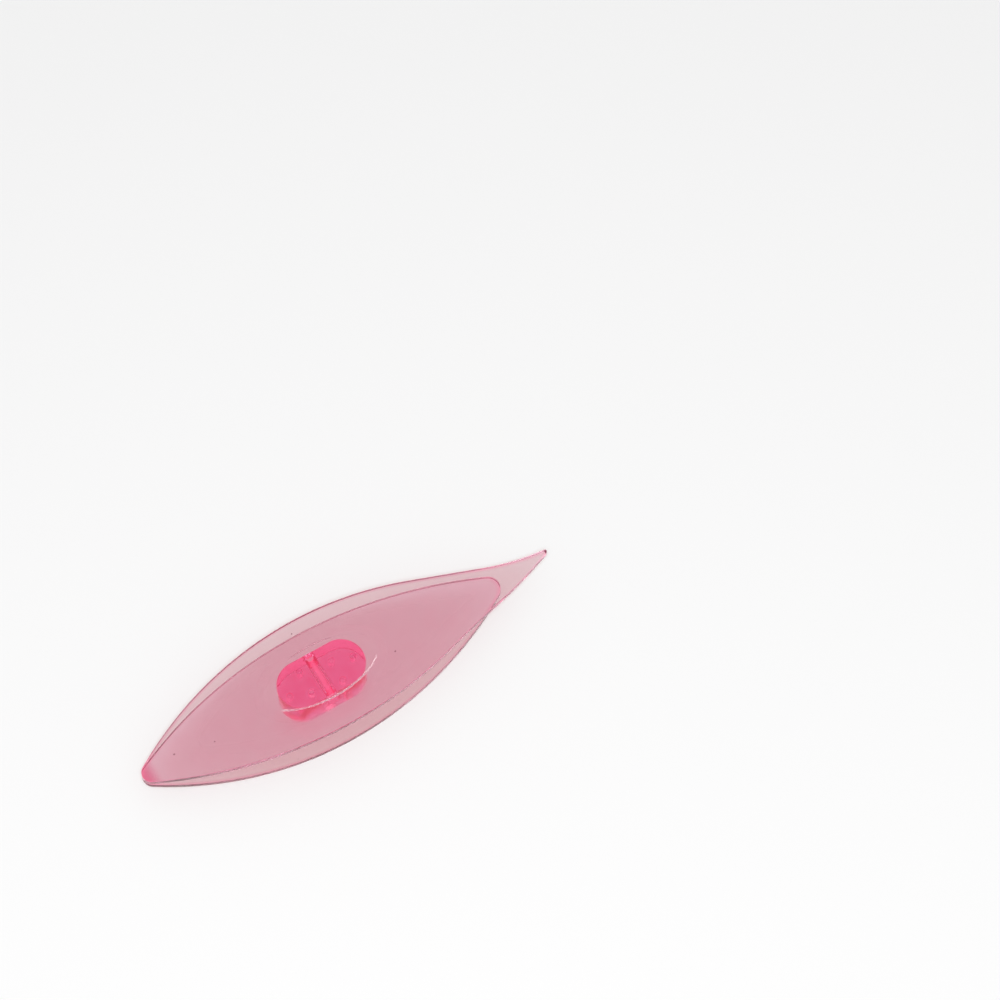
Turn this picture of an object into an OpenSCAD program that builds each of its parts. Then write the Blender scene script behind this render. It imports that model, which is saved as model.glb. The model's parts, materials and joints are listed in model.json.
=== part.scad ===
// Tatting shuttle: two bowed, leaf-shaped blades on an oblong thread post.
// +X runs to the pick, +Z is up, and the origin is the middle of the thread hole.

/* [Blades] */
// Length of the short blade, and of the pick blade without its pick
blade_length = 61.6; // [58:0.2:68]
// Width across the middle
blade_width = 18.5; // [16:0.5:21]
// Thickness over both blades at the middle
overall_height = 8.4; // [7:0.1:9.5]
// Wall of each blade
blade_wall = 1; // [0.8:0.05:1.2]
// Radius of the blunt end, in plan
blunt_end_radius = 1.6; // [1:0.1:2.2]
// Radius of the short blade's end under the pick, in plan
short_end_radius = 2; // [1:0.1:2.6]

/* [Pick] */
// Length of the pick past the short blade's end
pick_length = 8.4; // [6:0.2:10]
// Height that the pick curls up, from its lowest line to the underside of its point
pick_lift = 1.7; // [1.2:0.1:2.4]
// Radius of the pick's point, in plan
pick_point_radius = 0.35; // [0.25:0.05:0.6]
// Radius of the slightly hollow flanks of the pick
pick_flank_radius = 490; // [200:10:700]

/* [Thumb dish] */
// Length of the dish
dish_length = 19.2; // [16:0.2:21]
// Width of the dish
dish_width = 9.2; // [8.4:0.1:10.5]
// Depth of the dish
dish_depth = 0.5; // [0.35:0.05:0.6]

/* [Post] */
// Length of the post
post_length = 14.4; // [13:0.2:16]
// Width of the post
post_width = 7.6; // [7:0.1:9]
// Diameter of the thread hole, which crosses the post
thread_hole_diameter = 1.8; // [1.2:0.1:2.2]
// Chamfer at each mouth of the thread hole
thread_hole_chamfer = 0.25; // [0.1:0.05:0.4]

/* [Locating pins] */
// Diameter of each pin
pin_diameter = 0.9; // [0.7:0.05:1.1]
// Length of each pin, from the blade's inner face
pin_length = 2.4; // [1.8:0.1:2.6]
// Clearance between a pin and its socket, all round
pin_clearance = 0.05; // [0.03:0.01:0.08]
// Distance of the outer pin from the thread hole
outer_pin_reach = 5.5; // [4.8:0.1:5.8]
// Distance of the two inner pins from the thread hole
inner_pin_reach = 2.7; // [2.3:0.1:3.2]
// Distance of each inner pin from the centre line
inner_pin_offset = 1.9; // [1.5:0.1:2.4]

/* [Hidden] */
$fn = 96;
// Fine steps for the long, shallow curves
long_fn = 720;
// How far a cutter passes the face that it cuts
past = 0.5;
// How far one curve passes another that runs smoothly into it, so that they cross cleanly
overlap = 0.002;

half_width = blade_width / 2;
half_height = overall_height / 2;
// Rise of a blade's inner face from its closed ends to the middle
bow_rise = half_height - blade_wall;
blade_reach = blade_length / 2;
pick_reach = blade_reach + pick_length;

// Radius of the arc that passes (0, rise) level and reaches height 0 at reach
function arc_radius(reach, rise) = (reach * reach + rise * rise) / (2 * rise);

// Radius of the plan arc that is half_width out at the middle of a blade and runs
// smoothly into a round end of radius end_r
function plan_radius(end_r) =
    (pow(blade_reach - end_r, 2) + half_width * half_width - end_r * end_r)
    / (2 * (half_width - end_r));

// Both blades' inner faces have this bow, and their ends close on each other
bow_radius = arc_radius(blade_reach, bow_rise);

// The pick blade's bow runs smoothly into the curl, which is lowest at curl_x, just
// past the short blade's end, and lifts the point by pick_lift
curl_room = pick_reach * pick_reach - blade_reach * blade_reach - bow_rise * pick_lift;
curl_span = curl_room
    / (pick_reach + sqrt(pick_reach * pick_reach + (bow_rise / pick_lift - 1) * curl_room));
curl_x = pick_reach - curl_span;
curl_radius = arc_radius(curl_span, pick_lift);
curl_angle = asin(curl_x / (bow_radius + curl_radius));

// Where the hollow flank of the pick meets the pick blade's plan arc
blunt_plan_radius = plan_radius(blunt_end_radius);
flank_tip_x = pick_reach - pick_point_radius;
flank_span = [flank_tip_x, pick_point_radius + blunt_plan_radius - half_width];
flank_join = blunt_plan_radius + pick_flank_radius;
flank_turn = acos((flank_join * flank_join + flank_span * flank_span
    - pick_flank_radius * pick_flank_radius) / (2 * flank_join * norm(flank_span)));
flank_angle = atan2(flank_span[0], flank_span[1]) - flank_turn;
flank_x = blunt_plan_radius * sin(flank_angle);
flank_y = blunt_plan_radius * cos(flank_angle) - blunt_plan_radius + half_width;

socket_diameter = pin_diameter + 2 * pin_clearance;
socket_depth = pin_length + pin_clearance;

// The dish is cut by a ring-shaped surface, curved one way along and one way across
dish_across_radius = arc_radius(dish_width / 2, dish_depth);
dish_along_radius = 1 / (2 * dish_depth / pow(dish_length / 2, 2)
    - 1 / (bow_radius + blade_wall));
dish_sweep = 2 * asin((dish_length / 2 + past) / dish_along_radius);

blade_colour = [0.86, 0.66, 0.70, 0.75];
post_colour = [0.92, 0.39, 0.55, 0.9];

// Plan of a leaf with sharp ends: two arcs, half_width out at x = 0
module lens(plan_r) {
    intersection() {
        translate([0, half_width - plan_r]) circle(r = plan_r, $fn = long_fn);
        translate([0, plan_r - half_width]) circle(r = plan_r, $fn = long_fn);
    }
}

// Plan of a strip wider than the blades, from x = 0 to x = length
module strip(length) {
    translate([0, -half_width - past]) square([length, 2 * (half_width + past)]);
}

// Half of a leaf in plan, on the +X side, with a round end of radius end_r
module half_leaf(end_r) {
    plan_r = plan_radius(end_r);
    end_x = blade_reach - end_r;
    intersection() {
        lens(plan_r);
        strip(plan_r * sin(atan2(end_x, plan_r - half_width)));
    }
    translate([end_x - overlap, 0]) circle(r = end_r + overlap);
}

// The pick blade's +X half in plan: the leaf's arcs, then hollow flanks to the point
module pick_half() {
    flank_centre = [flank_join * sin(flank_angle),
        flank_join * cos(flank_angle) - blunt_plan_radius + half_width];
    intersection() {
        lens(blunt_plan_radius);
        strip(flank_x);
    }
    difference() {
        translate([flank_x, -flank_y]) square([flank_tip_x - flank_x, 2 * flank_y]);
        for (side = [-1, 1])
            translate([flank_centre[0], side * flank_centre[1]])
                circle(r = pick_flank_radius, $fn = 4 * long_fn);
    }
    translate([flank_tip_x - overlap, 0]) circle(r = pick_point_radius + overlap);
}

module pick_blade_plan() {
    mirror([1, 0]) half_leaf(blunt_end_radius);
    pick_half();
}

module short_blade_plan() {
    mirror([1, 0]) half_leaf(blunt_end_radius);
    half_leaf(short_end_radius);
}

// Side view of a disc about the bow's centre, where bow_radius comes bow_rise high
module bow_disc(radius) {
    translate([0, bow_rise - bow_radius]) circle(r = radius, $fn = long_fn);
}

// Side view of all that lies under a face of the pick blade, which is thickness
// above its inner face: first the bow, then the curl
module under_pick_blade(thickness) {
    difference() {
        union() {
            bow_disc(bow_radius + thickness);
            translate([(bow_radius + thickness) * sin(curl_angle), -half_height])
                square([pick_reach, overall_height + past]);
        }
        translate([curl_x, curl_radius])
            circle(r = curl_radius - thickness + overlap, $fn = long_fn);
    }
}

// Gives a side view its width, so that it can be cut to its plan
module across() {
    rotate([90, 0, 0])
        linear_extrude(height = blade_width + 2 * past, center = true) children();
}

module through() {
    linear_extrude(height = overall_height + 2 * past, center = true) children();
}

module dish_cutter() {
    translate([0, 0, half_height - dish_depth + dish_along_radius])
        rotate([90, 0, 0])
            rotate([0, 0, -90 - dish_sweep / 2])
                rotate_extrude(angle = dish_sweep, $fn = 4 * long_fn)
                    intersection() {
                        translate([dish_along_radius - dish_across_radius, 0])
                            circle(r = dish_across_radius, $fn = long_fn);
                        translate([dish_along_radius - dish_depth - past, -dish_width])
                            square([dish_depth + 2 * past, 2 * dish_width]);
                    }
}

// A cylinder at each of the pick blade's three pins. It runs length down from the
// blade's inner face at the middle and root up into its wall.
module pin_pattern(diameter, length, root) {
    for (place = [
        [outer_pin_reach, 0],
        [-inner_pin_reach, inner_pin_offset],
        [-inner_pin_reach, -inner_pin_offset]
    ])
        translate([place[0], place[1], bow_rise - length])
            cylinder(d = diameter, h = length + root);
}

module pick_blade() color(blade_colour) {
    difference() {
        intersection() {
            through() pick_blade_plan();
            across() under_pick_blade(blade_wall);
        }
        across() under_pick_blade(0);
        dish_cutter();
    }
    pin_pattern(pin_diameter, pin_length, blade_wall / 4);
}

module short_blade() color(blade_colour) mirror([0, 0, 1]) {
    intersection() {
        through() short_blade_plan();
        across() difference() {
            bow_disc(bow_radius + blade_wall);
            bow_disc(bow_radius);
        }
    }
    mirror([1, 0, 0]) pin_pattern(pin_diameter, pin_length, blade_wall / 4);
}

module post_plan() {
    straight = post_length - post_width;
    square([straight, post_width], center = true);
    for (side = [-1, 1]) translate([side * straight / 2, 0]) circle(d = post_width);
}

module thread_hole() {
    rotate([90, 0, 0])
        cylinder(d = thread_hole_diameter, h = post_width + 2 * past, center = true);
    for (side = [-1, 1])
        translate([0, side * post_width / 2, 0])
            rotate([side * 90, 0, 0])
                translate([0, 0, -past])
                    cylinder(
                        r1 = thread_hole_diameter / 2 + thread_hole_chamfer + past,
                        r2 = thread_hole_diameter / 2,
                        h = thread_hole_chamfer + past);
}

module post() color(post_colour) {
    difference() {
        intersection() {
            through() post_plan();
            // The upper face seats on the pick blade and the lower one on the short blade
            across() intersection() {
                bow_disc(bow_radius);
                mirror([0, 1]) bow_disc(bow_radius);
            }
        }
        thread_hole();
        pin_pattern(socket_diameter, socket_depth, past);
        mirror([0, 0, 1]) mirror([1, 0, 0])
            pin_pattern(socket_diameter, socket_depth, past);
    }
}

pick_blade();
short_blade();
post();
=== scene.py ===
"""A see-through plastic tatting shuttle, modelled in fine mesh over its CAD frame."""

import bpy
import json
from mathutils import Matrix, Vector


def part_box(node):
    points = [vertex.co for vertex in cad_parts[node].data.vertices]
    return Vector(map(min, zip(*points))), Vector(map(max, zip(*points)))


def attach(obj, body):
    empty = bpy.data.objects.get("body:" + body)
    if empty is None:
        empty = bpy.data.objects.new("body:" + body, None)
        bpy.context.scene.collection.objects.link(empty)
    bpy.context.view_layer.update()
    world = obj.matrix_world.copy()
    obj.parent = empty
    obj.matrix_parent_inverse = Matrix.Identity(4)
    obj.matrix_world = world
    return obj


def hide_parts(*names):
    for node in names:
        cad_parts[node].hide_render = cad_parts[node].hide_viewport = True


bl_info = {
    "name": "Tatting shuttle",
    "version": (1, 0, 0),
    "blender": (4, 5, 0),
    "location": "3D View > Sidebar > Shuttle",
    "description": "Models a see-through tatting shuttle with its pick, blades and post",
    "category": "Add Mesh",
}

import json
from math import acos, atan2, cos, hypot, log, pi, radians, sin, sqrt

import bmesh
import bpy
from bpy.props import FloatProperty, FloatVectorProperty, PointerProperty
from mathutils import Matrix, Vector

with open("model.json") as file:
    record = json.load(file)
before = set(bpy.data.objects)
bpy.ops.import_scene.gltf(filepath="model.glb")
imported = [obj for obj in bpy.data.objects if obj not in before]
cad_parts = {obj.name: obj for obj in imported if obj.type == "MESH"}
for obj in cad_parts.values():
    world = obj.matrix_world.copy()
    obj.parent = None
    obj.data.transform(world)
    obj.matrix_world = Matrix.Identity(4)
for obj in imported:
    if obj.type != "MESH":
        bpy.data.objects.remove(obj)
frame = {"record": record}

PICK_LOW, PICK_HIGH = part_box("pick_blade")
SHORT_LOW, SHORT_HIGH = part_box("short_blade")
POST_LOW, POST_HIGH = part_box("post")
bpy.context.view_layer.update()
THREAD_HOLE = frame["record"]["mounts"][0]["dims"]

MM = 0.001

# Steps along one side of a blade's outline, from the tip on +X to the blunt end
POINT_STEPS, FLANK_STEPS, LEAF_STEPS, BLUNT_STEPS = 10, 24, 56, 14
HALF_STEPS = POINT_STEPS + FLANK_STEPS + LEAF_STEPS + BLUNT_STEPS
# Steps along a quarter of each round end of the post
POST_QUARTER_STEPS = 28
# Facets round a pin and round the thread hole
PIN_FACETS, HOLE_FACETS = 40, 64

# Rings of points over the dish or a seat, from the dish out to the rim, round each
# rounded edge of a blade, and over a blade's inner face
DISH_RINGS, OUTER_RINGS, EDGE_RINGS, INNER_RINGS = 16, 26, 5, 34
# Rings that turn round a blade's rim, over both its edges
RIM_RINGS = 2 * EDGE_RINGS + 1
# Rings round each edge of the post
POST_EDGE_RINGS = 4
# Places of the rings across the wall round the dish, in widths of that wall from its top
DISH_WALL_RINGS = (-1.3, -1.1, -1, -0.9, -0.8, -0.65, -0.5, -0.35, -0.2, -0.1, 0, 0.1, 0.5)
# Where the rings inside that wall end
DISH_FLOOR_END = -1.6
# Size of the first ring inside the inner face's outline, as a share of that outline
INNER_START = 0.97

# A blade's inner face is polished over this many rings from the rim, and grows duller
# over the next ones
POLISHED_RINGS, DULLING_RINGS = 7, 5
# It is polished inside an oval round the post too, of these half sizes, and grows duller
# over this share of them further out
POLISHED_REACH, POLISHED_HALF_WIDTH, DULLING_SHARE = 9.5 * MM, 5.5 * MM, 0.25

# Faces that meet at a flatter angle than this are shaded as one
SMOOTH_ANGLE = radians(35)


def length(name, description, default):
    """A size that the user can change, in metres."""
    return FloatProperty(
        name=name, description=description, default=default, min=0, unit="LENGTH", precision=5
    )


def colour(name, description, default):
    """A colour that the user can change."""
    return FloatVectorProperty(
        name=name, description=description, default=default, min=0, max=1, subtype="COLOR"
    )


def place_on_table(name, description, default):
    """A place that the user can change, from the middle of the view on the table."""
    return FloatVectorProperty(
        name=name, description=description, default=default, subtype="TRANSLATION"
    )


class ShuttleSizes(bpy.types.PropertyGroup):
    """Sizes of the blades, the dish, the post and the pins"""

    blade_length: length("Blade length", "Short blade from end to end", SHORT_HIGH.x - SHORT_LOW.x)
    blade_width: length("Blade width", "Across the middle", SHORT_HIGH.y - SHORT_LOW.y)
    blade_wall: length("Blade wall", "Thickness of each blade", PICK_HIGH.z - POST_HIGH.z)
    blade_height: length("Blade height", "Top of the pick blade above the thread hole", PICK_HIGH.z)
    blunt_end_radius: length("Blunt end radius", "In plan", 1.6 * MM)
    short_end_radius: length("Short end radius", "Under the pick, in plan", 2 * MM)
    edge_radius: length("Edge radius", "Rounding of the blades' edges", 0.1 * MM)
    pick_length: length("Pick length", "Past the short blade", PICK_HIGH.x - SHORT_HIGH.x)
    pick_lift: length("Pick lift", "Rise of the point's underside", 1.7 * MM)
    pick_point_radius: length("Point radius", "In plan", 0.35 * MM)
    pick_flank_radius: length("Flank radius", "Of the pick's hollow flanks", 490 * MM)
    dish_length: length("Dish length", "Of the thumb dish", 19.2 * MM)
    dish_width: length("Dish width", "Of the thumb dish", 9.2 * MM)
    dish_depth: length("Dish depth", "Of the thumb dish", 0.5 * MM)
    rim_step: length("Rim step", "Drop of the short wall round the dish", 0.1 * MM)
    rim_width: length("Rim width", "Of the short wall, in plan", 0.4 * MM)
    post_length: length("Post length", "Along the shuttle", POST_HIGH.x - POST_LOW.x)
    post_width: length("Post width", "Across the shuttle", POST_HIGH.y - POST_LOW.y)
    post_edge_radius: length("Post edge radius", "Rounding of its seats' edges", 0.15 * MM)
    seat_gap: length("Seat gap", "Air between a blade and the post", 0.02 * MM)
    hole_radius: length("Thread hole radius", "Through the post", THREAD_HOLE["r_mm"] * MM)
    hole_length: length("Thread hole wall", "Between chamfers", THREAD_HOLE["length_mm"] * MM)
    pin_diameter: length("Pin diameter", "Of each locating pin", 0.9 * MM)
    pin_length: length("Pin length", "From the blade's inner face", 2.4 * MM)
    pin_clearance: length("Pin clearance", "Round each pin in its socket", 0.05 * MM)
    pin_chamfer: length("Pin chamfer", "At each pin's end", 0.12 * MM)
    outer_pin_reach: length("Outer pin reach", "From the thread hole", 5.5 * MM)
    inner_pin_reach: length("Inner pin reach", "From the thread hole", 2.7 * MM)
    inner_pin_offset: length("Inner pin offset", "From the centre line", 1.9 * MM)


class PlasticLooks(bpy.types.PropertyGroup):
    """Colours and finish of the plastic"""

    blade_tint: colour("Blade tint", "What 1 mm of blade lets through", (0.995, 0.90, 0.95))
    post_tint: colour("Post tint", "What 1 mm of post lets through", (0.99, 0.89, 0.945))
    # Painted glow: the blade glow and post glow are emission from every face of the plastic, which is
    # no lamp, standing in for light that the plastic carries
    blade_painted_glow: colour("Blade glow", "Of the bright dye, from each face", (0.012, 0.0, 0.002))
    post_painted_glow: colour("Post glow", "Of the bright dye, from each face", (0.11, 0.0, 0.015))
    shade_tint: colour("Shade tint", "What the shuttle leaves of a lamp", (0.70, 0.55, 0.51))
    # Painted shade: the rim tint deepens the colour at the blades' rims, the blunt end and the hole's
    # mouths, and also tints the dye's clouds
    painted_edge_shade_and_dye_tint: colour("Rim tint", "Of the faces at the blades' rims and ends", (0.97, 0.6, 0.72))
    # Painted glow: the end glow is emission at the rims near the ends, standing in for light carried
    # out to the edges
    end_painted_glow: colour("End glow", "Of the dye at the ends' rims", (0.09, 0.02, 0.035))
    dirt_colour: colour("Dirt", "Colour of the few specks in the plastic", (0.15, 0.08, 0.10))
    polish: FloatProperty(
        name="Polish", description="Roughness of the clean plastic", default=0.08, min=0, max=1
    )
    satin: FloatProperty(
        name="Satin", description="Added roughness of the inner faces", default=0.3, min=0, max=1
    )
    scuffs: FloatProperty(
        name="Scuffs", description="How much handling has dulled it", default=0.3, min=0, max=1
    )
    bore_satin: FloatProperty(
        name="Bore", description="Added roughness of the thread hole", default=0.5, min=0, max=1
    )
    blade_clouds: FloatProperty(
        name="Blade clouds", description="Share of deeper dye in patches", default=0.05, min=0, max=1
    )
    post_clouds: FloatProperty(
        name="Post clouds", description="Share of deeper dye in patches", default=0.35, min=0, max=1
    )


class StudioSettings(bpy.types.PropertyGroup):
    """Where the camera and the lamps stand"""

    camera_height: length("Camera height", "Above the table", 906.5 * MM)
    camera_back: length("Camera distance", "In front of the view's middle", 273.8 * MM)
    camera_pitch: FloatProperty(
        name="Camera pitch", description="Down from level", default=radians(68.99), subtype="ANGLE"
    )
    camera_lens: FloatProperty(name="Lens", description="Focal length", default=228.9, unit="CAMERA")
    shuttle_place: place_on_table(
        "Shuttle place", "Where the shuttle lies", (-26.77 * MM, 43.29 * MM, 5.15 * MM)
    )
    shuttle_turn: FloatProperty(
        name="Shuttle turn", description="About the upright", default=radians(30.49), subtype="ANGLE"
    )
    main_lamp_place: place_on_table("Main lamp", "Beside the camera", (0.0, -0.27, 0.9))
    main_lamp_size: FloatVectorProperty(
        name="Main lamp size", description="Width and height", default=(0.15, 0.15), size=2
    )
    main_lamp_power: FloatProperty(name="Main lamp power", description="In watts", default=5.95)
    rim_lamp_place: place_on_table("Rim lamp", "Low behind the shuttle", (-0.35, 0.62, 0.42))
    rim_lamp_size: FloatVectorProperty(
        name="Rim lamp size", description="Width and height", default=(0.7, 0.12), size=2
    )
    rim_lamp_power: FloatProperty(name="Rim lamp power", description="In watts", default=2.1)
    floor_colour: colour("Floor", "Colour of the floor", (0.97, 0.97, 0.97))
    sky_level: FloatProperty(name="Sky", description="Strength of the light overhead", default=0.42)
    horizon_level: FloatProperty(
        name="Horizon", description="Strength of the light at the horizon", default=0.3
    )


def clamp(value):
    """The value kept between 0 and 1."""
    return min(1, max(0, value))


def arc_radius(reach, rise):
    """Radius of an arc that is level at height rise and reaches height 0 at reach."""
    return (reach * reach + rise * rise) / (2 * rise)


def arc(centre, radius, start, end, steps, side=1):
    """Points of an arc in plan with the outline's outward normals, without the last one."""
    points = []
    for i in range(steps):
        turn = start + (end - start) * i / steps
        way = Vector((cos(turn), sin(turn)))
        points.append((Vector(centre) + radius * way, side * way))
    return points


class BladeShape:
    """The curves of one blade, lying with its bow upwards."""

    def __init__(self, sizes, with_pick):
        self.sizes = sizes
        self.with_pick = with_pick
        self.reach = sizes.blade_length / 2
        self.half_width = sizes.blade_width / 2
        self.rise = sizes.blade_height - sizes.blade_wall
        self.bow_radius = arc_radius(self.reach, self.rise)
        self.tip_x = self.reach
        if with_pick:
            self.set_curl()

    def set_curl(self):
        """The upward curl of the pick, which the bow runs into."""
        sizes = self.sizes
        self.tip_x = self.reach + sizes.pick_length
        room = self.tip_x**2 - self.reach**2 - self.rise * sizes.pick_lift
        steepness = self.rise / sizes.pick_lift - 1
        span = room / (self.tip_x + sqrt(self.tip_x**2 + steepness * room))
        self.curl_x = self.tip_x - span
        self.curl_radius = arc_radius(span, sizes.pick_lift)
        self.curl_slope = self.curl_x / (self.bow_radius + self.curl_radius)

    def height(self, x, above):
        """Height of the face that lies above the inner face by that much."""
        bow = self.bow_radius + above
        if self.with_pick and x > bow * self.curl_slope:
            return self.curl_radius - sqrt((self.curl_radius - above) ** 2 - (x - self.curl_x) ** 2)
        return self.rise - self.bow_radius + sqrt(bow * bow - x * x)

    def leaf_radius(self, end_radius):
        """Radius of the plan arc that runs smoothly into a round end."""
        return ((self.reach - end_radius) ** 2 + self.half_width**2 - end_radius**2) / (
            2 * (self.half_width - end_radius)
        )

    def pick_half(self):
        """The outline's upper half from the pick's point to the middle, and the turn left."""
        sizes = self.sizes
        leaf = self.leaf_radius(sizes.blunt_end_radius)
        leaf_y = self.half_width - leaf
        tip = Vector((self.tip_x - sizes.pick_point_radius, 0))
        span = Vector((tip.x, sizes.pick_point_radius - leaf_y))
        join = leaf + sizes.pick_flank_radius
        turn = atan2(span.x, span.y) - acos(
            (join**2 + span.length_squared - sizes.pick_flank_radius**2) / (2 * join * span.length)
        )
        flank = Vector((join * sin(turn), leaf_y + join * cos(turn)))
        flank_start = atan2(sizes.pick_point_radius - flank.y, tip.x - flank.x)
        flank_end = atan2(leaf_y - flank.y, -flank.x)
        return (
            arc(tip, sizes.pick_point_radius, 0, pi / 2, POINT_STEPS)
            + arc(flank, sizes.pick_flank_radius, flank_start, flank_end, FLANK_STEPS, side=-1),
            turn,
            LEAF_STEPS,
        )

    def short_half(self):
        """The outline's upper half from the short blade's round end to the middle."""
        end_radius = self.sizes.short_end_radius
        leaf = self.leaf_radius(end_radius)
        end_x = self.reach - end_radius
        end_turn = atan2(end_x, leaf - self.half_width)
        steps = FLANK_STEPS + LEAF_STEPS // 3
        return (
            arc((end_x, 0), end_radius, 0, pi / 2 - end_turn, POINT_STEPS)
            + arc((0, self.half_width - leaf), leaf, pi / 2 - end_turn, pi / 2, steps),
            0,
            HALF_STEPS - POINT_STEPS - BLUNT_STEPS - steps,
        )

    def outline(self):
        """All the outline's points with their normals, round from the tip on +X."""
        points, leaf_turn, leaf_steps = self.pick_half() if self.with_pick else self.short_half()
        blunt = self.sizes.blunt_end_radius
        leaf = self.leaf_radius(blunt)
        end_x = self.reach - blunt
        end_turn = pi / 2 + atan2(end_x, leaf - self.half_width)
        points += arc(
            (0, self.half_width - leaf), leaf, pi / 2 - leaf_turn, end_turn, leaf_steps
        )
        points += arc((-end_x, 0), blunt, end_turn, pi, BLUNT_STEPS)
        points.append((Vector((-self.reach, 0)), Vector((-1, 0))))
        mirrored = [
            (Vector((p.x, -p.y)), Vector((n.x, -n.y))) for p, n in reversed(points[1:-1])
        ]
        return points + mirrored

    def top(self, x, y):
        """Height of the outer face, with the thumb dish in the pick blade."""
        height = self.height(x, self.sizes.blade_wall)
        if self.with_pick:
            height -= self.dish_fall(x, y)
        return height

    def dish_fall(self, x, y):
        """How far the dish drops here: a short wall round it, then a shallow bowl."""
        sizes = self.sizes
        along, across = 2 * x / sizes.dish_length, 2 * y / sizes.dish_width
        inside = 1 - along**2 - across**2
        # How steeply inside falls in plan, which turns it into a distance from the rim
        slope = 4 * hypot(along / sizes.dish_length, across / sizes.dish_width)
        share = clamp(inside / max(slope, 1) / sizes.rim_width)
        wall = sizes.rim_step * share * share * (3 - 2 * share)
        return wall + (sizes.dish_depth - sizes.rim_step) * max(0, inside)


def spread(start, end, count):
    """Evenly spaced values after start, up to and with end."""
    return [start + (end - start) * (i + 1) / count for i in range(count)]


def blade_rings(shape):
    """Rings of points over a blade: out over its top, round its edge and in beneath."""
    sizes = shape.sizes
    outline = shape.outline()
    edge = sizes.edge_radius
    middle_x = (shape.tip_x - shape.reach) / 2
    half_span = (shape.tip_x + shape.reach) / 2
    oval = []
    for point, _ in outline:
        turn = acos(max(-1, min(1, (point.x - middle_x) / half_span)))
        across = sin(turn) * (1 if point.y >= 0 else -1)
        rim = Vector((cos(turn) * sizes.dish_length / 2, across * sizes.dish_width / 2))
        out = Vector((cos(turn) / sizes.dish_length, across / sizes.dish_width)).normalized()
        oval.append((rim, out))
    inset = [point - edge * normal for point, normal in outline]

    def on_top(plan):
        return [Vector((p.x, p.y, shape.top(p.x, p.y))) for p in plan]

    def beneath(plan):
        return [Vector((p.x, p.y, shape.height(p.x, 0))) for p in plan]

    wall = sizes.rim_width
    inner = [rim + DISH_FLOOR_END * wall * out for rim, out in oval]
    outer = [rim + DISH_WALL_RINGS[-1] * wall * out for rim, out in oval]
    rings = [on_top([share * p for p in inner]) for share in spread(0, 1, DISH_RINGS)]
    rings += [
        on_top([rim + offset * wall * out for rim, out in oval]) for offset in DISH_WALL_RINGS
    ]
    rings += [
        on_top([p.lerp(q, share) for p, q in zip(outer, inset)])
        for share in spread(0, 1, OUTER_RINGS)
    ]
    turns = spread(0, pi / 2, EDGE_RINGS)
    for turn in turns:
        plan = [q + edge * sin(turn) * n for q, (_, n) in zip(inset, outline)]
        drop = Vector((0, 0, edge * (1 - cos(turn))))
        rings.append([p - drop for p in on_top(plan)])
    for turn in reversed([0] + turns):
        plan = [q + edge * sin(turn) * n for q, (_, n) in zip(inset, outline)]
        lift = Vector((0, 0, edge * (1 - cos(turn))))
        rings.append([p + lift for p in beneath(plan)])
    rings += [
        beneath([share * q for q in inset])
        for share in reversed(spread(0, INNER_START, INNER_RINGS))
    ]
    return rings


def post_outline(sizes, inset):
    """The post's outline in plan, drawn in by inset: an oblong with round ends."""
    radius = sizes.post_width / 2
    centre_x = sizes.post_length / 2 - radius
    points = []
    for side, start in ((1, -pi / 2), (-1, pi / 2)):
        for i in range(2 * POST_QUARTER_STEPS + 1):
            turn = start + pi * i / (2 * POST_QUARTER_STEPS)
            points.append(
                Vector((side * centre_x + (radius - inset) * cos(turn), (radius - inset) * sin(turn)))
            )
    return points


def post_rings(shape):
    """Rings of points over the post: out over its upper seat, down and in beneath."""
    sizes = shape.sizes
    edge = sizes.post_edge_radius
    rings = []

    def seat(plan, drop):
        return [
            Vector((p.x, p.y, shape.height(p.x, 0) - sizes.seat_gap - drop)) for p in plan
        ]

    inner = post_outline(sizes, edge)
    rings += [seat([share * p for p in inner], 0) for share in spread(0, 1, DISH_RINGS)]
    rings += [
        seat(post_outline(sizes, edge * (1 - sin(turn))), edge * (1 - cos(turn)))
        for turn in spread(0, pi / 2, POST_EDGE_RINGS)
    ]
    lower = [[Vector((p.x, p.y, -p.z)) for p in ring] for ring in reversed(rings)]
    return rings + lower


def deselect_all():
    """Leaves edit mode and selects nothing, because operators act on all that is selected."""
    if bpy.context.object and bpy.context.object.mode != "OBJECT":
        bpy.ops.object.mode_set(mode="OBJECT")
    bpy.ops.object.select_all(action="DESELECT")


def select_only(*pieces):
    """Selects these pieces, the first one active."""
    deselect_all()
    for piece in pieces:
        piece.select_set(True)
    bpy.context.view_layer.objects.active = pieces[0]


def dullness(place, ring):
    """How dull a blade's inner face is at this place, that many rings in from its rim."""
    beside_post = hypot(place.x / POLISHED_REACH, place.y / POLISHED_HALF_WIDTH)
    from_rim = clamp((ring - POLISHED_RINGS) / DULLING_RINGS)
    return from_rim * clamp((beside_post - 1) / DULLING_SHARE)


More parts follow.
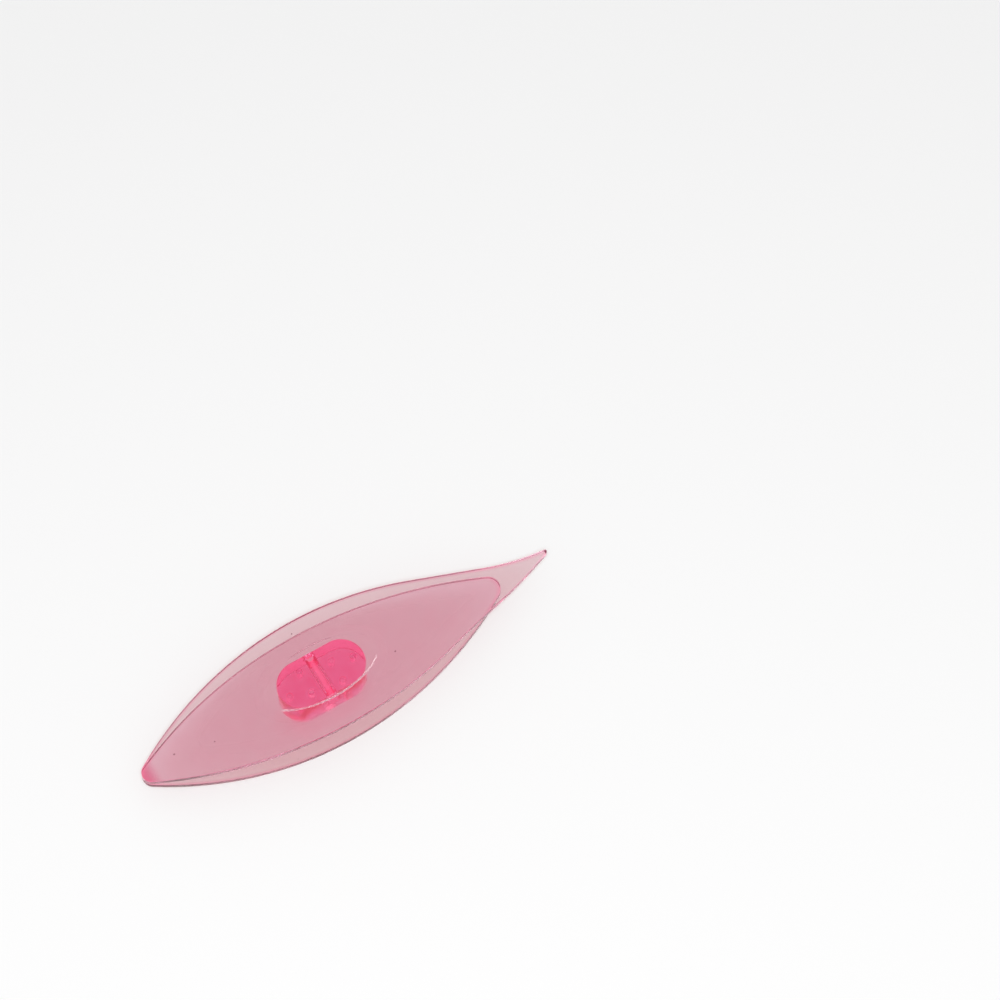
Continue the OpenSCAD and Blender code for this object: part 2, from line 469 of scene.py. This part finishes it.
def skin_rings(name, rings, inner_rings=0):
    """A closed skin over rings of points, drawn out from a small disc ring by ring.

    The last inner_rings lie on a blade's inner face, and the attribute satin says how dull
    they are. Those before them turn round the rim, and get the attribute rim.
    """
    deselect_all()
    count = len(rings[0])
    bpy.ops.mesh.primitive_circle_add(vertices=count, radius=MM, fill_type="TRIFAN")
    piece = bpy.context.object
    piece.name = piece.data.name = name
    bpy.ops.object.mode_set(mode="EDIT")
    mesh = bmesh.from_edit_mesh(piece.data)
    station = mesh.verts.layers.int.new("station")
    mesh.verts.layers.float.new("satin")
    mesh.verts.layers.float.new("rim")
    for vert in mesh.verts:
        if vert.co.length < MM / 2:
            vert[station] = -1
            vert.co = sum((p for p in rings[0]), Vector()) / count
            vert.co.z = rings[0][count // 4].z
        else:
            vert[station] = round(atan2(vert.co.y, vert.co.x) / (2 * pi) * count) % count
            vert.co = rings[0][vert[station]]
    inner_start = len(rings) - inner_rings
    for index, ring in enumerate(rings[1:], start=1):
        bpy.ops.mesh.select_all(action="DESELECT")
        mesh = bmesh.from_edit_mesh(piece.data)
        for edge in mesh.edges:
            if edge.is_boundary:
                edge.select_set(True)
        bmesh.update_edit_mesh(piece.data)
        bpy.ops.mesh.extrude_edges_move()
        mesh = bmesh.from_edit_mesh(piece.data)
        station = mesh.verts.layers.int["station"]
        satin = mesh.verts.layers.float["satin"]
        rim = mesh.verts.layers.float["rim"]
        for vert in mesh.verts:
            if vert.select:
                vert.co = ring[vert[station]]
                if inner_rings:
                    vert[satin] = dullness(vert.co, index - inner_start)
                    vert[rim] = float(-RIM_RINGS <= index - inner_start < 0)
        bmesh.update_edit_mesh(piece.data)
    bpy.ops.mesh.extrude_edges_move()
    bpy.ops.mesh.merge(type="CENTER")
    bpy.ops.mesh.select_all(action="SELECT")
    bpy.ops.mesh.normals_make_consistent(inside=False)
    bpy.ops.object.mode_set(mode="OBJECT")
    return piece


def pin_places(sizes):
    """Where the pick blade's three pins stand in plan. The short blade's are turned."""
    return (
        (sizes.outer_pin_reach, 0),
        (-sizes.inner_pin_reach, sizes.inner_pin_offset),
        (-sizes.inner_pin_reach, -sizes.inner_pin_offset),
    )


def add_rod(place, radius, low, high, chamfer):
    """An upright rod with its lower edge chamfered."""
    deselect_all()
    bpy.ops.mesh.primitive_cylinder_add(
        vertices=PIN_FACETS, radius=radius, depth=high - low, location=(*place, (low + high) / 2)
    )
    rod = bpy.context.object
    bpy.ops.object.transform_apply(location=True, rotation=True, scale=True)
    if chamfer:
        bpy.ops.object.mode_set(mode="EDIT")
        bpy.ops.mesh.select_all(action="DESELECT")
        mesh = bmesh.from_edit_mesh(rod.data)
        for edge in mesh.edges:
            if all(v.co.z < low + chamfer for v in edge.verts):
                edge.select_set(True)
        bmesh.update_edit_mesh(rod.data)
        bpy.ops.mesh.bevel(offset=chamfer, segments=3, affect="EDGES")
        bpy.ops.object.mode_set(mode="OBJECT")
    return rod


def add_rods(sizes, height, radius, extra, chamfer=0.0):
    """One rod at each of the pick blade's pins, reaching extra above and below it.

    Above, it reaches at least a quarter of the wall into the blade.
    """
    low = height - sizes.pin_length - extra
    rods = [
        add_rod(place, radius, low, height + max(extra, sizes.blade_wall / 4), chamfer)
        for place in pin_places(sizes)
    ]
    select_only(*rods)
    bpy.ops.object.join()
    return bpy.context.object


def turn_over(piece):
    """Turns a piece half round about the thread hole, the upper side below."""
    piece.data.transform(Matrix.Rotation(pi, 4, "Y"))
    piece.data.update()
    return piece


def combine(piece, other, operation):
    """Adds the other piece to this one, or cuts it away, and removes it."""
    select_only(piece)
    cut = piece.modifiers.new("Cut", "BOOLEAN")
    cut.operation = operation
    cut.solver = "EXACT"
    cut.object = other
    bpy.ops.object.modifier_apply(modifier=cut.name)
    bpy.data.objects.remove(other)


def finish_piece(piece, node, material):
    """Smooths the piece, gives it its material and stands it in for its CAD node."""
    select_only(piece)
    bpy.ops.object.shade_smooth_by_angle(angle=SMOOTH_ANGLE)
    piece.data.materials.clear()
    piece.data.materials.append(material)
    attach(piece, "root")
    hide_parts(node)


def add_thread_hole_cutter(sizes):
    """A rod along the thread hole, flared at both mouths of the post."""
    mouth = sizes.post_width / 2
    chamfer = mouth - sizes.hole_length / 2
    past = 2 * chamfer
    deselect_all()
    bpy.ops.mesh.primitive_cylinder_add(
        vertices=HOLE_FACETS,
        radius=sizes.hole_radius,
        depth=sizes.hole_length,
        rotation=(pi / 2, 0, 0),
    )
    rod = bpy.context.object
    bpy.ops.object.transform_apply(location=True, rotation=True, scale=True)
    bpy.ops.object.mode_set(mode="EDIT")
    for side in (-1, 1):
        bpy.ops.mesh.select_all(action="DESELECT")
        mesh = bmesh.from_edit_mesh(rod.data)
        end = [f for f in mesh.faces if f.normal.y * side > 0.9]
        end[0].select_set(True)
        bmesh.update_edit_mesh(rod.data)
        bpy.ops.mesh.extrude_region_move(
            TRANSFORM_OT_translate={"value": (0, side * (chamfer + past), 0)}
        )
        widen = 1 + (chamfer + past) / sizes.hole_radius
        bpy.ops.transform.resize(
            value=(widen, 1, widen),
            center_override=(0, side * (mouth + past), 0),
        )
    bpy.ops.object.mode_set(mode="OBJECT")
    return rod


class NodeSheet:
    """Adds nodes to one node tree and links them."""

    def __init__(self, tree):
        self.tree = tree

    def add(self, kind, inputs=None, **settings):
        """A node with these settings. An input is a value or another node's output."""
        node = self.tree.nodes.new(kind)
        for name, value in settings.items():
            setattr(node, name, value)
        for name, value in (inputs or {}).items():
            if isinstance(value, bpy.types.NodeSocket):
                self.tree.links.new(value, node.inputs[name])
            else:
                node.inputs[name].default_value = value
        return node

    def maths(self, operation, first, second=0.0):
        """The result of one sum on two values."""
        return self.add("ShaderNodeMath", {0: first, 1: second}, operation=operation).outputs[0]

    def times(self, *values):
        """All the values multiplied."""
        result = values[0]
        for value in values[1:]:
            result = self.maths("MULTIPLY", result, value)
        return result

    def most(self, *values):
        """The greatest of the values."""
        result = values[0]
        for value in values[1:]:
            result = self.maths("MAXIMUM", result, value)
        return result

    def mix(self, share, first, second):
        """The first colour, which turns into the second one as share goes from 0 to 1."""
        # Sockets 6 and 7 are the two colours, and output 2 is their mix
        return self.add(
            "ShaderNodeMix", {"Factor": share, 6: first, 7: second}, data_type="RGBA"
        ).outputs[2]

    def noise(self, place, scale, detail):
        """Soft noise from 0 to 1."""
        return self.add(
            "ShaderNodeTexNoise", {"Vector": place, "Scale": scale, "Detail": detail}
        ).outputs["Fac"]

    def dots(self, place, scale, edge, middle):
        """Scattered dots, one to a cell, from 0 at their edge to 1 at their middle."""
        cells = self.add("ShaderNodeTexVoronoi", {"Vector": place, "Scale": scale})
        return self.fade(cells.outputs["Distance"], edge, middle)

    def fade(self, value, low, high, to_low=0.0, to_high=1.0):
        """A value mapped smoothly from low to high."""
        names = ("Value", "From Min", "From Max", "To Min", "To Max")
        inputs = dict(zip(names, (value, low, high, to_low, to_high)))
        return self.add(
            "ShaderNodeMapRange", inputs, interpolation_type="SMOOTHSTEP"
        ).outputs["Result"]


# How strongly the plastic bends light
ACRYLIC_IOR = 1.53
# Fine scratches: their turn, how fine they are across, and the noise level they start at
SCRATCHES = ((0.35, 2.4, 0.66), (-0.55, 2.0, 0.67), (1.45, 1.7, 0.68))
SCRATCH_LENGTH_SCALE, SCRATCH_DEPTH_SCALE, SCRATCH_FADE = 0.09 / MM, 0.5 / MM, 0.08
# Noise in these scales makes the handled patches, the flow marks and the dye's clouds
PATCH_SCALE, FLOW_SCALE, CLOUD_SCALE = 0.16 / MM, 0.11 / MM, 0.45 / MM
# Cells of these scales hold one dull speck or one dark one each
SPECK_SCALE, DIRT_SCALE = 0.55 / MM, 0.2 / MM
# Roughness that a scratch or speck adds, and that a handled patch adds
SCRATCH_ROUGHNESS, PATCH_ROUGHNESS = 0.22, 0.03
FLOW_HEIGHT, SCRATCH_HEIGHT = 0.006 * MM, -0.0006 * MM
# Levels between which the noise turns into patches or clouds
PATCH_LEVELS, CLOUD_LEVELS = (0.4, 0.7), (0.42, 0.62)
# How far from its cell's point a speck or a bit of dirt begins and is full, in cells
SPECK_REACH, DIRT_REACH = (0.07, 0.03), (0.032, 0.022)

# Each mask fades in from its first value to its second one. The dull part of the thread
# hole reaches this far from its axis, and from its middle.
BORE_REACH, BORE_HALF_LENGTH = (1.1 * MM, 1.0 * MM), (2.3 * MM, 1.7 * MM)
# The painted shade at the hole's mouths reaches this far from its axis, and starts here
MOUTH_REACH, MOUTH_START = (1.5 * MM, 1.3 * MM), (2.0 * MM, 2.5 * MM)
# Distances from the blunt end, where shade is painted, and from both ends of the short blade, where
# glow is painted at the rims
BLUNT_END_MARGINS, BOTH_ENDS_MARGINS = (3 * MM, 0.4 * MM), (5 * MM, 1 * MM)


def build_moulded_surface():
    """The shared finish of moulded plastic: polish, fine scuffs, specks and flow marks."""
    group = bpy.data.node_groups.new("moulded_surface", "ShaderNodeTree")
    face = group.interface
    for name, default in (("Polish", 0.1), ("Scuffs", 0.5), ("Satin", 0.0)):
        face.new_socket(name, in_out="INPUT", socket_type="NodeSocketFloat").default_value = default
    for name in ("Roughness", "Height", "Clouds", "Dirt"):
        face.new_socket(name, in_out="OUTPUT", socket_type="NodeSocketFloat")
    sheet = NodeSheet(group)
    given = sheet.add("NodeGroupInput").outputs
    place = sheet.add("ShaderNodeTexCoord").outputs["Object"]

    def streaks(turn, fineness, level):
        """Fine scratches that run one way."""
        scale = (SCRATCH_LENGTH_SCALE, fineness / MM, SCRATCH_DEPTH_SCALE)
        stretched = sheet.add(
            "ShaderNodeMapping", {"Vector": place, "Rotation": (0, 0, turn), "Scale": scale}
        ).outputs["Vector"]
        return sheet.fade(sheet.noise(stretched, 1.0, 2.0), level, level + SCRATCH_FADE)

    scratches = sheet.most(*(streaks(*scratch) for scratch in SCRATCHES))
    patches = sheet.fade(sheet.noise(place, PATCH_SCALE, 3.0), *PATCH_LEVELS)
    specks = sheet.times(sheet.dots(place, SPECK_SCALE, *SPECK_REACH), given["Scuffs"])
    worn = sheet.times(scratches, patches, given["Scuffs"])
    dulled = sheet.times(sheet.most(worn, specks), SCRATCH_ROUGHNESS)
    hazed = sheet.times(patches, given["Scuffs"], PATCH_ROUGHNESS)
    roughness = given["Polish"]
    for added in (dulled, hazed, given["Satin"]):
        roughness = sheet.maths("ADD", roughness, added)
    flow = sheet.times(sheet.noise(place, FLOW_SCALE, 1.0), FLOW_HEIGHT)
    results = {
        "Roughness": roughness,
        "Height": sheet.maths("ADD", flow, sheet.times(worn, SCRATCH_HEIGHT)),
        "Clouds": sheet.fade(sheet.noise(place, CLOUD_SCALE, 3.0), *CLOUD_LEVELS),
        "Dirt": sheet.dots(place, DIRT_SCALE, *DIRT_REACH),
    }
    sheet.add("NodeGroupOutput", results)
    return group


class PlasticMarks:
    """Masks of places on the plastic: the rougher thread hole and inner faces, and the rims, ends and
    hole's mouths where shade and glow are painted.
    """

    def __init__(self, sheet):
        place = sheet.add("ShaderNodeTexCoord").outputs["Object"]
        axes = sheet.add("ShaderNodeSeparateXYZ", {"Vector": place}).outputs
        upright = sheet.add(
            "ShaderNodeVectorMath", {0: place, 1: (1, 0, 1)}, operation="MULTIPLY"
        ).outputs["Vector"]
        from_axis = sheet.add(
            "ShaderNodeVectorMath", {0: upright}, operation="LENGTH"
        ).outputs["Value"]
        across = sheet.maths("ABSOLUTE", axes["Y"])
        along = sheet.maths("ABSOLUTE", axes["X"])
        self.in_bore = sheet.times(
            sheet.fade(from_axis, *BORE_REACH), sheet.fade(across, *BORE_HALF_LENGTH)
        )
        self.painted_shade_at_mouths = sheet.times(
            sheet.fade(from_axis, *MOUTH_REACH), sheet.fade(across, *MOUTH_START)
        )
        self.painted_shade_at_blunt_end = sheet.fade(
            axes["X"], *(SHORT_LOW.x + margin for margin in BLUNT_END_MARGINS)
        )
        self.painted_glow_near_ends = sheet.fade(
            along, *(SHORT_HIGH.x - margin for margin in BOTH_ENDS_MARGINS)
        )
        self.rim_for_painted_shade_and_glow = sheet.add("ShaderNodeAttribute", attribute_name="rim").outputs["Fac"]
        self.on_inner_face = sheet.add(
            "ShaderNodeAttribute", attribute_name="satin"
        ).outputs["Fac"]


def opaque(tone):
    """A colour with full opacity, as a node's socket takes it."""
    return (*tone, 1)


def build_plastic(name, tint, glow, clouds, looks, surface):
    """See-through plastic, whose tint deepens with its thickness, with shade painted at its rims,
    ends and the hole's mouths and a faint painted glow.
    """
    material = bpy.data.materials.new(name)
    material.use_nodes = True
    material.node_tree.nodes.clear()
    sheet = NodeSheet(material.node_tree)
    marks = PlasticMarks(sheet)
    satin = sheet.most(
        sheet.times(marks.on_inner_face, looks.satin), sheet.times(marks.in_bore, looks.bore_satin)
    )
    finish = sheet.add(
        "ShaderNodeGroup",
        {"Polish": looks.polish, "Scuffs": looks.scuffs, "Satin": satin},
        node_tree=surface,
    ).outputs
    bump = sheet.add(
        "ShaderNodeBump", {"Height": finish["Height"], "Distance": 1.0, "Strength": 1.0}
    ).outputs["Normal"]
    # Painted shade where light runs far through the plastic: the tint deepens at the rims, the blunt
    # end and the hole's mouths, and in the dye's clouds
    deeper_dye_and_painted_shade = sheet.mix(
        sheet.most(
            marks.painted_shade_at_blunt_end,
            marks.rim_for_painted_shade_and_glow,
            marks.painted_shade_at_mouths,
            sheet.times(finish["Clouds"], clouds),
        ),
        (1, 1, 1, 1),
        opaque(looks.painted_edge_shade_and_dye_tint),
    )
    # Painted glow: the faces give off a faint glow everywhere and a stronger one at the rims near the
    # ends, though the plastic is no lamp
    painted_glow_colour = sheet.mix(
        sheet.times(marks.rim_for_painted_shade_and_glow, marks.painted_glow_near_ends), opaque(glow), opaque(looks.end_painted_glow)
    )
    plastic = sheet.add(
        "ShaderNodeBsdfPrincipled",
        {
            "Base Color": sheet.mix(finish["Dirt"], deeper_dye_and_painted_shade, opaque(looks.dirt_colour)),
            "Roughness": finish["Roughness"],
            "IOR": ACRYLIC_IOR,
            "Transmission Weight": 1.0,
            "Emission Color": painted_glow_colour,
            "Emission Strength": 1.0,
            "Normal": bump,
        },
    ).outputs["BSDF"]
    # A lamp's ray is dimmed once, at the first face on its way up from the floor
    path = sheet.add("ShaderNodeLightPath").outputs
    first = sheet.maths("LESS_THAN", path["Transparent Depth"], 0.5)
    dimmed = sheet.mix(first, (1, 1, 1, 1), opaque(looks.shade_tint))
    lamps = sheet.add("ShaderNodeBsdfTransparent", {"Color": dimmed}).outputs["BSDF"]
    from_lamps = sheet.maths("MAXIMUM", path["Is Shadow Ray"], path["Is Diffuse Ray"])
    shown = sheet.add("ShaderNodeMixShader", {0: from_lamps, 1: plastic, 2: lamps}).outputs[0]
    # The colour that takes most of each millimetre sets the density for all three
    density = max(-log(share) for share in tint) / MM
    volume_colour = [1 + log(share) / MM / density for share in tint]
    inside = sheet.add(
        "ShaderNodeVolumeAbsorption", {"Color": opaque(volume_colour), "Density": density}
    ).outputs["Volume"]
    sheet.add("ShaderNodeOutputMaterial", {"Surface": shown, "Volume": inside})


def find_material(name):
    """The material that the plastics operator made."""
    if name not in bpy.data.materials:
        raise RuntimeError(f"the material {name} comes first")
    return bpy.data.materials[name]


class SHUTTLE_OT_add_plastics(bpy.types.Operator):
    """Make the see-through plastics of the blades and the post"""

    bl_idname = "shuttle.add_plastics"
    bl_label = "Plastics"

    def execute(self, context):
        looks = context.scene.plastic_looks
        surface = build_moulded_surface()
        for name, tint, glow, clouds in (
            ("see_through_blade", looks.blade_tint, looks.blade_painted_glow, looks.blade_clouds),
            ("see_through_post", looks.post_tint, looks.post_painted_glow, looks.post_clouds),
        ):
            build_plastic(name, tint, glow, clouds, looks, surface)
        return {"FINISHED"}


def add_blade(name, node, with_pick):
    """One blade with its pins, bow upwards, dressed as its CAD node."""
    sizes = bpy.context.scene.shuttle_sizes
    shape = BladeShape(sizes, with_pick)
    blade = skin_rings(name, blade_rings(shape), INNER_RINGS)
    if not with_pick:
        blade.data.transform(Matrix.Rotation(pi, 4, "X"))
        blade.data.update()
    pins = add_rods(sizes, shape.rise, sizes.pin_diameter / 2, 0, sizes.pin_chamfer)
    if not with_pick:
        turn_over(pins)
    combine(blade, pins, "UNION")
    finish_piece(blade, node, find_material("see_through_blade"))


class SHUTTLE_OT_add_pick_blade(bpy.types.Operator):
    """Model the upper blade with its pick, thumb dish and pins"""

    bl_idname = "shuttle.add_pick_blade"
    bl_label = "Pick blade"

    def execute(self, context):
        add_blade("upper_blade_with_pick", "pick_blade", True)
        return {"FINISHED"}


class SHUTTLE_OT_add_short_blade(bpy.types.Operator):
    """Model the lower blade with its round end and pins"""

    bl_idname = "shuttle.add_short_blade"
    bl_label = "Short blade"

    def execute(self, context):
        add_blade("lower_blade", "short_blade", False)
        return {"FINISHED"}


class SHUTTLE_OT_add_post(bpy.types.Operator):
    """Model the oblong post with its thread hole and the sockets for the pins"""

    bl_idname = "shuttle.add_post"
    bl_label = "Post"

    def execute(self, context):
        sizes = context.scene.shuttle_sizes
        shape = BladeShape(sizes, False)
        post = skin_rings("thread_post", post_rings(shape))
        combine(post, add_thread_hole_cutter(sizes), "DIFFERENCE")
        radius = sizes.pin_diameter / 2 + sizes.pin_clearance
        combine(post, add_rods(sizes, shape.rise, radius, sizes.pin_clearance), "DIFFERENCE")
        under = turn_over(add_rods(sizes, shape.rise, radius, sizes.pin_clearance))
        combine(post, under, "DIFFERENCE")
        finish_piece(post, "post", find_material("see_through_post"))
        return {"FINISHED"}


# Light crosses many faces on its way through the blades and the post
BOUNCES, TRANSPARENT_BOUNCES = 24, 32
# Width of the camera's sensor, in millimetres, and what it sees, in metres
SENSOR_WIDTH, NEAREST, FARTHEST = 36, 0.01, 10
FLOOR_SIZE = 4
# Heights on the sky, from 0 to 1, between which the horizon's light turns into the sky's
SKY_HEIGHTS = 0.25, 0.95


def add_lamp(name, to_shuttle, place, size, power):
    """A lamp that faces the shuttle, size wide and high. Its place is given on the table."""
    deselect_all()
    bpy.ops.object.light_add(type="AREA")
    lamp = bpy.context.object
    lamp.name = lamp.data.name = name
    lamp.data.shape = "RECTANGLE"
    lamp.data.size, lamp.data.size_y = size
    lamp.data.energy = power
    spot = to_shuttle @ Vector(place)
    lamp.matrix_world = Matrix.Translation(spot) @ spot.to_track_quat("Z", "Y").to_matrix().to_4x4()
    return lamp


class SHUTTLE_OT_add_stage(bpy.types.Operator):
    """Make the floor, the sky, the lamps and the camera"""

    bl_idname = "shuttle.add_stage"
    bl_label = "Stage"

    def execute(self, context):
        scene = context.scene
        studio = scene.studio_settings
        lying = Matrix.Translation(studio.shuttle_place) @ Matrix.Rotation(
            studio.shuttle_turn, 4, "Z"
        )
        to_shuttle = lying.inverted()
        self.add_camera(scene, studio, to_shuttle)
        self.add_floor(studio)
        self.add_sky(scene, studio)
        # This lamp stays out of reflections, as behind a polarising filter
        main_lamp = add_lamp(
            "main_lamp",
            to_shuttle,
            studio.main_lamp_place,
            studio.main_lamp_size,
            studio.main_lamp_power,
        )
        main_lamp.visible_glossy = False
        main_lamp.visible_transmission = False
        # This one shows only in reflections, as the bright line round the dish
        rim_lamp = add_lamp(
            "rim_lamp",
            to_shuttle,
            studio.rim_lamp_place,
            studio.rim_lamp_size,
            studio.rim_lamp_power,
        )
        rim_lamp.visible_diffuse = False
        rim_lamp.visible_transmission = False
        scene.view_settings.view_transform = "Standard"
        scene.cycles.transparent_max_bounces = TRANSPARENT_BOUNCES
        scene.cycles.transmission_bounces = scene.cycles.max_bounces = BOUNCES
        return {"FINISHED"}

    def add_camera(self, scene, studio, to_shuttle):
        """The camera at the photograph's angle."""
        deselect_all()
        bpy.ops.object.camera_add()
        camera = bpy.context.object
        camera.name = "photo_camera"
        camera.data.lens = studio.camera_lens
        camera.data.sensor_fit = "HORIZONTAL"
        camera.data.sensor_width = SENSOR_WIDTH
        camera.data.clip_start = NEAREST
        camera.data.clip_end = FARTHEST
        stand = Matrix.Translation((0, -studio.camera_back, studio.camera_height))
        camera.matrix_world = (
            to_shuttle @ stand @ Matrix.Rotation(pi / 2 - studio.camera_pitch, 4, "X")
        )
        scene.camera = camera

    def add_floor(self, studio):
        """A plain floor that the lower blade rests on."""
        deselect_all()
        bpy.ops.mesh.primitive_plane_add(size=FLOOR_SIZE, location=(0, 0, SHORT_LOW.z))
        floor = bpy.context.object
        floor.name = "floor"
        material = bpy.data.materials.new("floor_paper")
        material.use_nodes = True
        material.node_tree.nodes.clear()
        sheet = NodeSheet(material.node_tree)
        paper = sheet.add("ShaderNodeBsdfDiffuse", {"Color": opaque(studio.floor_colour)})
        sheet.add("ShaderNodeOutputMaterial", {"Surface": paper.outputs["BSDF"]})
        floor.data.materials.append(material)

    def add_sky(self, scene, studio):
        """White light from above that falls off towards the horizon."""
        scene.world = bpy.data.worlds.new("sky")
        scene.world.use_nodes = True
        scene.world.node_tree.nodes.clear()
        sheet = NodeSheet(scene.world.node_tree)
        way = sheet.add("ShaderNodeTexCoord").outputs["Generated"]
        height = sheet.add("ShaderNodeSeparateXYZ", {"Vector": way}).outputs["Z"]
        level = sheet.fade(height, *SKY_HEIGHTS, studio.horizon_level, studio.sky_level)
        light = sheet.add(
            "ShaderNodeBackground", {"Color": (1, 1, 1, 1), "Strength": level}
        ).outputs["Background"]
        sheet.add("ShaderNodeOutputWorld", {"Surface": light})


OPERATORS = (
    SHUTTLE_OT_add_plastics,
    SHUTTLE_OT_add_pick_blade,
    SHUTTLE_OT_add_short_blade,
    SHUTTLE_OT_add_post,
    SHUTTLE_OT_add_stage,
)


class SHUTTLE_PT_panel(bpy.types.Panel):
    """Lists the shuttle's pieces and its stage"""

    bl_idname = "SHUTTLE_PT_panel"
    bl_label = "Tatting shuttle"
    bl_space_type = "VIEW_3D"
    bl_region_type = "UI"
    bl_category = "Shuttle"

    def draw(self, context):
        for operator in OPERATORS:
            self.layout.operator(operator.bl_idname)


GROUPS = (ShuttleSizes, PlasticLooks, StudioSettings)
CLASSES = GROUPS + OPERATORS + (SHUTTLE_PT_panel,)


def register():
    for item in CLASSES:
        bpy.utils.register_class(item)
    bpy.types.Scene.shuttle_sizes = PointerProperty(type=ShuttleSizes)
    bpy.types.Scene.plastic_looks = PointerProperty(type=PlasticLooks)
    bpy.types.Scene.studio_settings = PointerProperty(type=StudioSettings)


def unregister():
    del bpy.types.Scene.studio_settings
    del bpy.types.Scene.plastic_looks
    del bpy.types.Scene.shuttle_sizes
    for item in reversed(CLASSES):
        bpy.utils.unregister_class(item)


def main():
    register()
    bpy.ops.shuttle.add_stage()
    bpy.ops.shuttle.add_plastics()
    bpy.ops.shuttle.add_pick_blade()
    bpy.ops.shuttle.add_short_blade()
    bpy.ops.shuttle.add_post()


if __name__ == "__main__":
    main()
